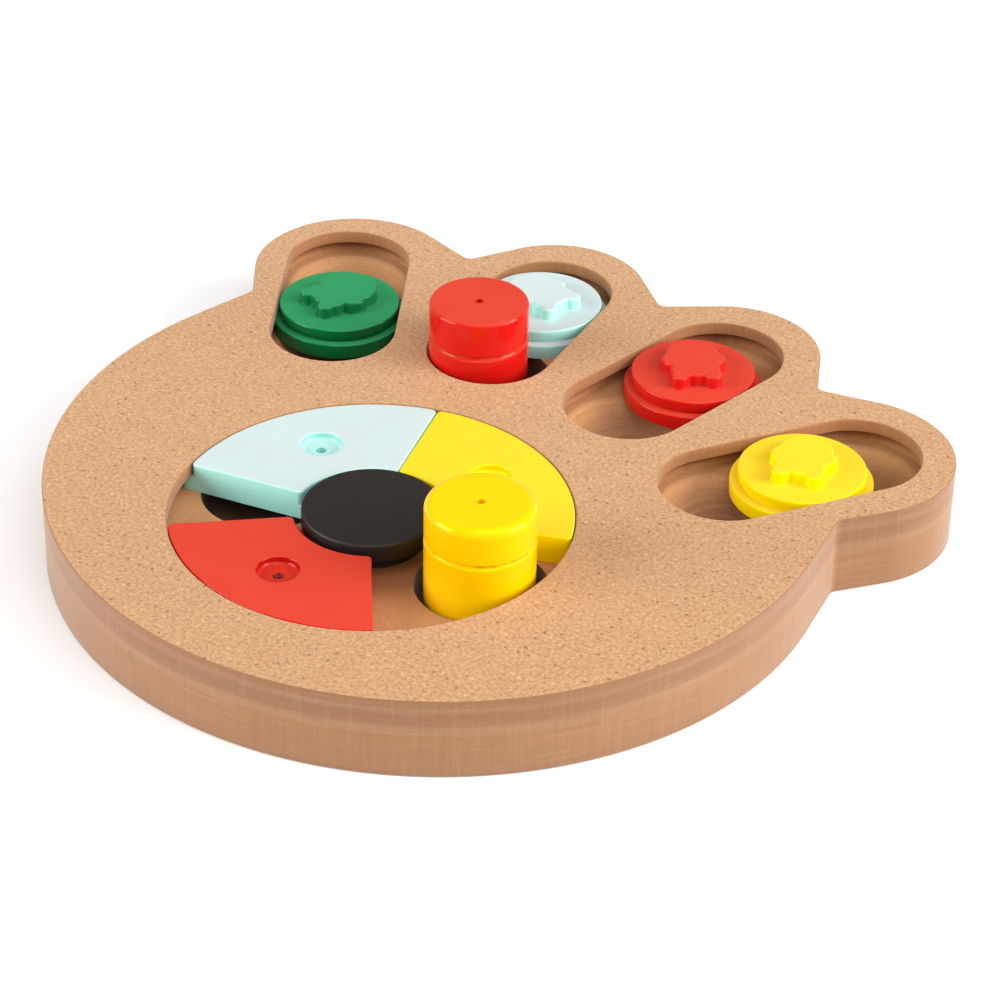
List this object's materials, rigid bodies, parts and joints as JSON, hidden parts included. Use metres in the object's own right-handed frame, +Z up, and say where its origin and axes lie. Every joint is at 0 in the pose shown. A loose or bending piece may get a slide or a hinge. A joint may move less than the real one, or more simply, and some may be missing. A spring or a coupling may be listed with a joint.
{
  "type": "cat puzzle board",
  "caption": "Paw-shaped fibreboard treat puzzle with undercut toe slots, sliding pucks, turning palm sectors under a round hub, and loose lift-out pegs.",
  "frame": {"origin": "underside of the board, under the middle of its outline", "axes": "+Y towards the toes, +X to the right seen from above, +Z up out of the board top"},
  "size_m": [0.2456, 0.2474, 0.0457],
  "materials": {
    "fibreboard": "raw sanded medium-density fibreboard",
    "paint_green": "satin painted wood",
    "paint_mint": "satin painted wood",
    "paint_red": "satin painted wood",
    "paint_yellow": "satin painted wood",
    "hub_black": "matte",
    "screw_steel": "zinc plated"
  },
  "bodies": {
    "board": {"base_panel": "fibreboard", "track_panel": "fibreboard", "lip_panel": "fibreboard", "hub": "hub_black", "hub_screw": "screw_steel"},
    "green_puck": {"puck_green": "paint_green", "grip_green": "paint_green"},
    "mint_puck": {"puck_mint": "paint_mint", "grip_mint": "paint_mint"},
    "red_puck": {"puck_red": "paint_red", "grip_red": "paint_red"},
    "yellow_puck": {"puck_yellow": "paint_yellow", "grip_yellow": "paint_yellow"},
    "mint_sector": {"sector_mint": "paint_mint"},
    "yellow_sector": {"sector_yellow": "paint_yellow"},
    "red_sector": {"sector_red": "paint_red"},
    "red_peg": {"peg_red": "paint_red"},
    "yellow_peg": {"peg_yellow": "paint_yellow"}
  },
  "joints": [
    {"name": "green_puck_slide", "type": "slide", "parent": "board", "child": "green_puck", "axis": [-0.5225, 0.8526, 0], "range_m": [-0.0183, 0.0249]},
    {"name": "mint_puck_slide", "type": "slide", "parent": "board", "child": "mint_puck", "axis": [-0.1547, 0.988, 0], "range_m": [-0.0011, 0.0062]},
    {"name": "red_puck_slide", "type": "slide", "parent": "board", "child": "red_puck", "axis": [0.1547, 0.988, 0], "range_m": [-0.0295, 0.0125]},
    {"name": "yellow_puck_slide", "type": "slide", "parent": "board", "child": "yellow_puck", "axis": [0.5225, 0.8526, 0], "range_m": [-0.0254, 0.0178]},
    {"name": "mint_sector_turn", "type": "hinge", "parent": "board", "child": "mint_sector", "pos_m": [-0.00075, -0.04044, 0], "axis": [0, 0, 1], "range_deg": [0, 30]},
    {"name": "yellow_sector_turn", "type": "hinge", "parent": "board", "child": "yellow_sector", "pos_m": [-0.00075, -0.04044, 0], "axis": [0, 0, 1], "range_deg": [-2.4, 0]},
    {"name": "red_sector_turn", "type": "hinge", "parent": "board", "child": "red_sector", "pos_m": [-0.00075, -0.04044, 0], "axis": [0, 0, 1], "range_deg": [-30, 23]},
    {"name": "red_peg_lift", "type": "slide", "parent": "board", "child": "red_peg", "axis": [0, 0, 1], "range_m": [0, 0.045]},
    {"name": "yellow_peg_lift", "type": "slide", "parent": "board", "child": "yellow_peg", "axis": [0, 0, 1], "range_m": [0, 0.045]}
  ]
}
